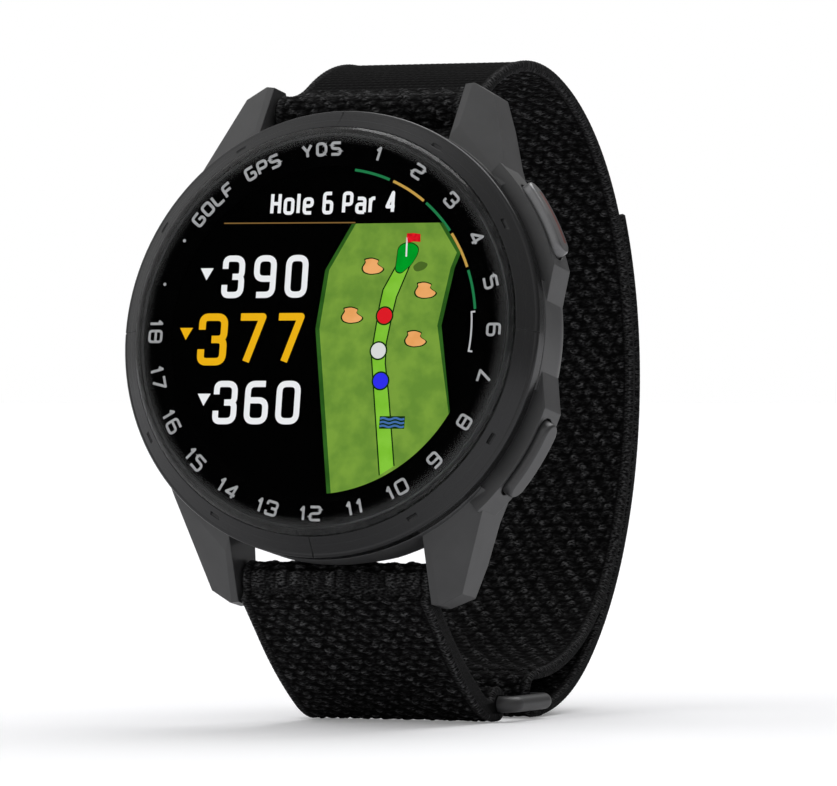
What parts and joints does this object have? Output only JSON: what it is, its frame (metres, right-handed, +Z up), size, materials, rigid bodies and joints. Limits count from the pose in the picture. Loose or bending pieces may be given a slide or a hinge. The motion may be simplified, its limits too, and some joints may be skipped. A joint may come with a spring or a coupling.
{
  "type": "golf gps watch",
  "caption": "Round golf GPS wristwatch with two side buttons and a numbered dial, on a hook-and-loop fabric strap closed through a ring.",
  "frame": {"origin": "on the floor, in the middle of the flat where the lower strap folds round the ring's front bar", "axes": "+Z up; the dial faces -Y and leans back 9.5 degrees; +X towards 3 o'clock"},
  "size_m": [0.0438, 0.0614, 0.0649],
  "materials": {
    "case_polymer": "fine satin moulded, dark grey",
    "bezel_metal": "dark anodised, satin",
    "cover_glass": "polished, clear",
    "mask_ink": "black print under the glass, pale grey numbers",
    "display": "lit screen",
    "seal_rubber": "matt black",
    "steel": "brushed",
    "circuit_board": "green solder mask",
    "flex_film": "amber film",
    "chassis_plastic": "matt black",
    "cell_foil": "dull foil",
    "gold_contact": "gold plated",
    "cover_polymer": "semi-gloss black",
    "sensor_glass": "dark tinted",
    "button_metal": "satin grey",
    "button_dark": "satin, near black",
    "button_accent": "satin orange-red",
    "strap_fabric": "black knitted nylon, bound edges",
    "hook_fabric": "black hook tape",
    "ring_plastic": "satin dark grey"
  },
  "bodies": {
    "head": {"case_frame": "case_polymer", "bezel": "bezel_metal", "lens": "cover_glass", "lens_gasket": "seal_rubber", "dial_mask": "mask_ink", "display_panel": "display", "display_bracket": "steel", "display_flex": "flex_film", "main_board": "circuit_board", "board_shield": "steel", "board_screws": "steel", "chassis": "chassis_plastic", "gps_antenna": "steel", "battery": "cell_foil", "battery_lead": "flex_film", "vibration_motor": "steel", "sensor_board": "circuit_board", "sensor_flex": "flex_film", "sensor_window": "sensor_glass", "rear_cover": "cover_polymer", "rear_gasket": "seal_rubber", "rear_screws": "steel", "charging_socket": "chassis_plastic", "charging_pins": "gold_contact", "upper_button_spring": "steel", "upper_button_switch": "chassis_plastic", "lower_button_spring": "steel", "lower_button_switch": "chassis_plastic"},
    "upper_button": {"upper_button_cap": "button_metal", "upper_button_accent": "button_accent", "upper_button_stem": "steel", "upper_button_seal": "seal_rubber", "upper_button_clip": "steel"},
    "lower_button": {"lower_button_cap": "button_dark", "lower_button_stem": "steel", "lower_button_seal": "seal_rubber", "lower_button_clip": "steel"},
    "upper_strap": {"upper_strap": "strap_fabric", "strap_fold": "strap_fabric", "strap_tail": "strap_fabric", "upper_bar_tube": "steel", "upper_bar_fixed_pin": "steel", "upper_bar_spring": "steel"},
    "upper_release": {"upper_bar_release_pin": "steel"},
    "tail_tab": {"tail_tab": "strap_fabric", "hook_patch": "hook_fabric"},
    "lower_strap": {"lower_strap": "strap_fabric", "lower_bar_tube": "steel", "lower_bar_fixed_pin": "steel", "lower_bar_spring": "steel"},
    "lower_release": {"lower_bar_release_pin": "steel"},
    "strap_ring": {"strap_ring": "ring_plastic"}
  },
  "joints": [
    {"name": "lower_strap_swing", "type": "hinge", "parent": "head", "child": "lower_strap", "pos_m": [0, -0.01538, 0.01411], "axis": [1, 0, 0], "range_deg": [-4, 4]},
    {"name": "upper_strap_swing", "type": "hinge", "parent": "head", "child": "upper_strap", "pos_m": [0, -0.00785, 0.05908], "axis": [1, 0, 0], "range_deg": [-0.9, 0.9]},
    {"name": "strap_ring_swing", "type": "hinge", "parent": "lower_strap", "child": "strap_ring", "pos_m": [0, 0, 0.00174], "axis": [1, 0, 0], "range_deg": [-9.2, 9.2]},
    {"name": "tail_tab_peel", "type": "hinge", "parent": "upper_strap", "child": "tail_tab", "pos_m": [0, 0.0368, 0.02638], "axis": [-1, 0, 0], "range_deg": [0, 100]},
    {"name": "upper_button_press", "type": "slide", "parent": "head", "child": "upper_button", "axis": [-0.866, -0.0825, -0.4931], "range_m": [0, 0.0006], "stiffness_N_per_m": 1500, "springref_m": -0.0006, "deforming": ["upper_button_spring"]},
    {"name": "lower_button_press", "type": "slide", "parent": "head", "child": "lower_button", "axis": [-0.866, 0.0825, 0.4931], "range_m": [0, 0.0006], "stiffness_N_per_m": 1500, "springref_m": -0.0006, "deforming": ["lower_button_spring"]},
    {"name": "upper_bar_release", "type": "slide", "parent": "upper_strap", "child": "upper_release", "axis": [-1, 0, 0], "range_m": [0, 0.0016], "stiffness_N_per_m": 600, "springref_m": -0.0015, "deforming": ["upper_bar_spring"]},
    {"name": "lower_bar_release", "type": "slide", "parent": "lower_strap", "child": "lower_release", "axis": [-1, 0, 0], "range_m": [0, 0.0016], "stiffness_N_per_m": 600, "springref_m": -0.0015, "deforming": ["lower_bar_spring"]}
  ],
  "couplings": [
    {"joint": "upper_strap_swing", "follows": "lower_strap_swing", "ratio": 0.21572},
    {"joint": "strap_ring_swing", "follows": "lower_strap_swing", "ratio": -2.2882}
  ]
}
